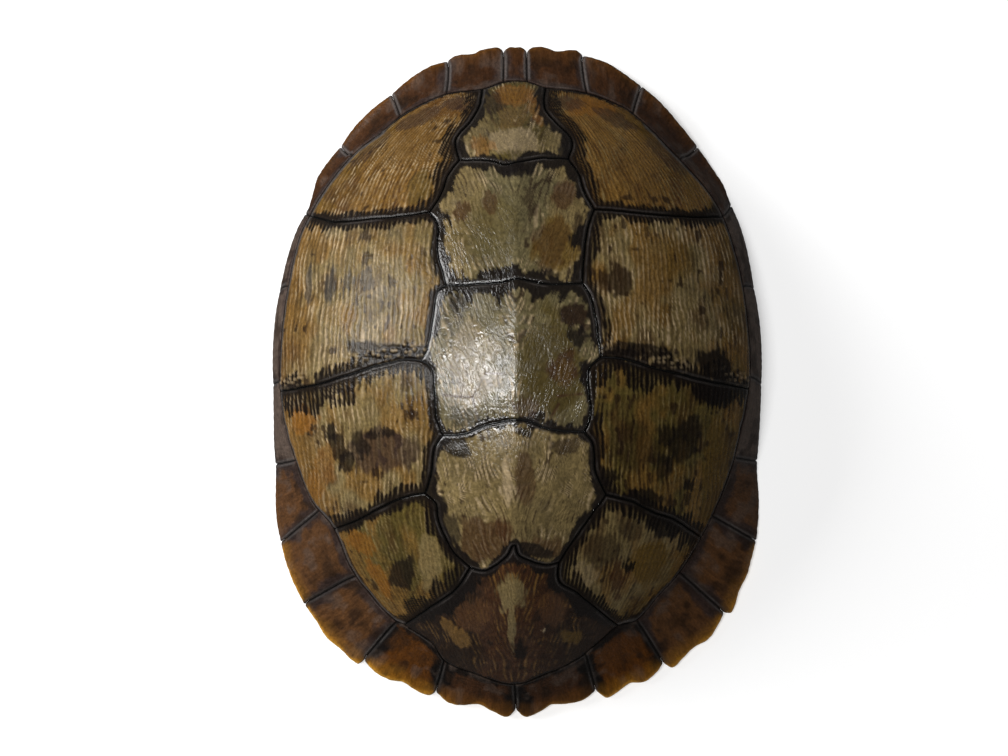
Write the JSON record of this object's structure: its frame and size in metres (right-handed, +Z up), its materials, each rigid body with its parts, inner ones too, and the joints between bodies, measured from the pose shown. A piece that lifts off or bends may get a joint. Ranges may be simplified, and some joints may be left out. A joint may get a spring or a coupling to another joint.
{
  "type": "turtle shell",
  "caption": "Oval domed upper shell of a pond turtle: ridged horny scutes over a thin dome of bone, with a saw-toothed rear edge and an open hollow below.",
  "frame": {"origin": "below the middle of the shell's outline, at the height of the sawn faces of the bridge that it lies on", "axes": "+Y towards the head end, +X to the animal's right side, +Z up"},
  "size_m": [0.1808, 0.2452, 0.0806],
  "materials": {
    "bone": "dry and matt, stained brown in the pores and along the sutures",
    "vertebral_horn": "satin to glossy, finely wrinkled",
    "costal_horn": "satin to glossy, with long wavy ridges",
    "marginal_horn": "satin, worn paler at the edge"
  },
  "bodies": {
    "root": {"bone_carapace": "bone", "nuchal": "marginal_horn", "vertebral_1": "vertebral_horn", "vertebral_2": "vertebral_horn", "vertebral_3": "vertebral_horn", "vertebral_4": "vertebral_horn", "vertebral_5": "vertebral_horn", "costal_left_1": "costal_horn", "costal_left_2": "costal_horn", "costal_left_3": "costal_horn", "costal_left_4": "costal_horn", "costal_right_1": "costal_horn", "costal_right_2": "costal_horn", "costal_right_3": "costal_horn", "costal_right_4": "costal_horn", "marginal_left_1": "marginal_horn", "marginal_left_2": "marginal_horn", "marginal_left_3": "marginal_horn", "marginal_left_4": "marginal_horn", "marginal_left_5": "marginal_horn", "marginal_left_6": "marginal_horn", "marginal_left_7": "marginal_horn", "marginal_left_8": "marginal_horn", "marginal_left_9": "marginal_horn", "marginal_left_10": "marginal_horn", "marginal_left_11": "marginal_horn", "marginal_left_12": "marginal_horn", "marginal_right_1": "marginal_horn", "marginal_right_2": "marginal_horn", "marginal_right_3": "marginal_horn", "marginal_right_4": "marginal_horn", "marginal_right_5": "marginal_horn", "marginal_right_6": "marginal_horn", "marginal_right_7": "marginal_horn", "marginal_right_8": "marginal_horn", "marginal_right_9": "marginal_horn", "marginal_right_10": "marginal_horn", "marginal_right_11": "marginal_horn", "marginal_right_12": "marginal_horn"}
  },
  "joints": []
}
